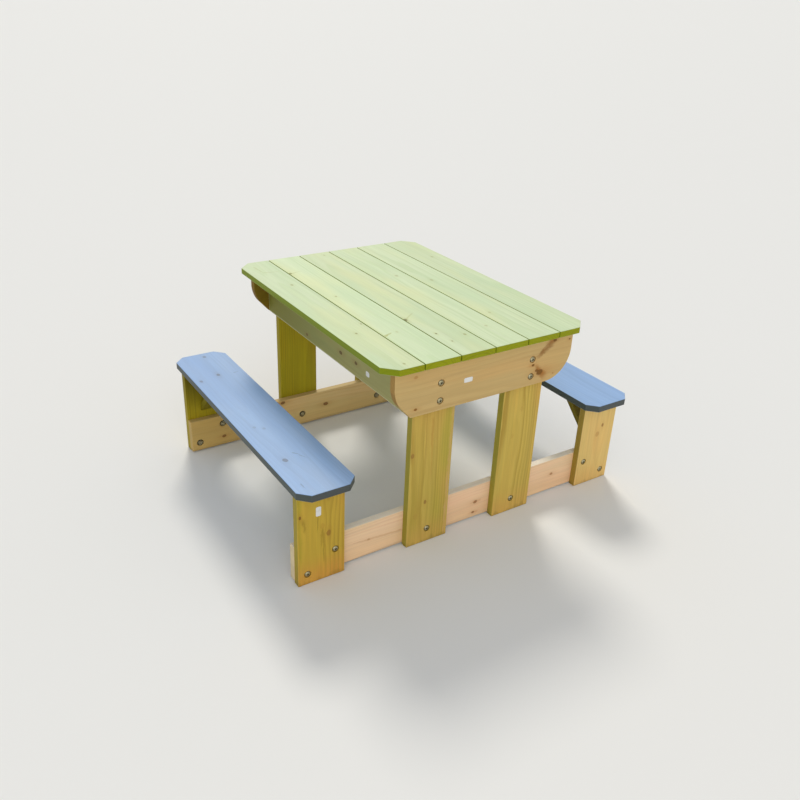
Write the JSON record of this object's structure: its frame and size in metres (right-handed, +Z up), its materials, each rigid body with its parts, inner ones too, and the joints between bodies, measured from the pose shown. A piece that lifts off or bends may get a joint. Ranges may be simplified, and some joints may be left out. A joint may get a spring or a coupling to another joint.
{
  "type": "kids picnic table",
  "caption": "Wooden picnic table for children: planked top with cut corners on two bolted end frames, each with rounded apron, stretcher and legs, and a bench board on each long side.",
  "frame": {"origin": "on the ground under the middle of the tabletop, at the centre of the footprint", "axes": "+X from the left bench to the right bench, +Y along the boards away from the front end, +Z up"},
  "size_m": [0.99, 0.8, 0.515],
  "materials": {
    "top_boards": "pale green stained softwood, more saturated on the edges",
    "battens": "bare planed softwood",
    "rails": "greyish bare planed softwood with small knots",
    "bench_boards": "slate blue stained softwood with darker edges",
    "aprons": "warm tan bare planed softwood with knots",
    "stretchers": "pale pinkish bare planed softwood with knots",
    "table_legs": "olive yellow pressure treated softwood",
    "bench_legs": "golden pressure treated softwood",
    "braces": "olive pressure treated softwood",
    "bolts": "bright zinc plated steel"
  },
  "bodies": {
    "root": {"top_board_1": "top_boards", "top_board_2": "top_boards", "top_board_3": "top_boards", "top_board_4": "top_boards", "top_board_5": "top_boards", "top_board_6": "top_boards", "top_batten_1": "battens", "top_batten_2": "battens", "top_batten_3": "battens", "side_rail_left": "rails", "side_rail_right": "rails", "bench_board_left": "bench_boards", "bench_board_right": "bench_boards", "apron_front": "aprons", "apron_back": "aprons", "stretcher_front": "stretchers", "stretcher_back": "stretchers", "table_leg_front_left": "table_legs", "table_leg_front_right": "table_legs", "table_leg_back_left": "table_legs", "table_leg_back_right": "table_legs", "bench_leg_front_left": "bench_legs", "bench_leg_front_right": "bench_legs", "bench_leg_back_left": "bench_legs", "bench_leg_back_right": "bench_legs", "brace_front_left": "braces", "brace_front_right": "braces", "brace_back_left": "braces", "brace_back_right": "braces", "apron_bolt_front_left_lower": "bolts", "apron_bolt_front_left_upper": "bolts", "apron_bolt_front_right_lower": "bolts", "apron_bolt_front_right_upper": "bolts", "apron_bolt_back_left_lower": "bolts", "apron_bolt_back_left_upper": "bolts", "apron_bolt_back_right_lower": "bolts", "apron_bolt_back_right_upper": "bolts", "table_leg_bolt_front_left": "bolts", "table_leg_bolt_front_right": "bolts", "table_leg_bolt_back_left": "bolts", "table_leg_bolt_back_right": "bolts", "bench_leg_bolt_front_left_outer": "bolts", "bench_leg_bolt_front_left_inner": "bolts", "bench_leg_bolt_front_right_outer": "bolts", "bench_leg_bolt_front_right_inner": "bolts", "bench_leg_bolt_back_left_outer": "bolts", "bench_leg_bolt_back_left_inner": "bolts", "bench_leg_bolt_back_right_outer": "bolts", "bench_leg_bolt_back_right_inner": "bolts"}
  },
  "joints": []
}
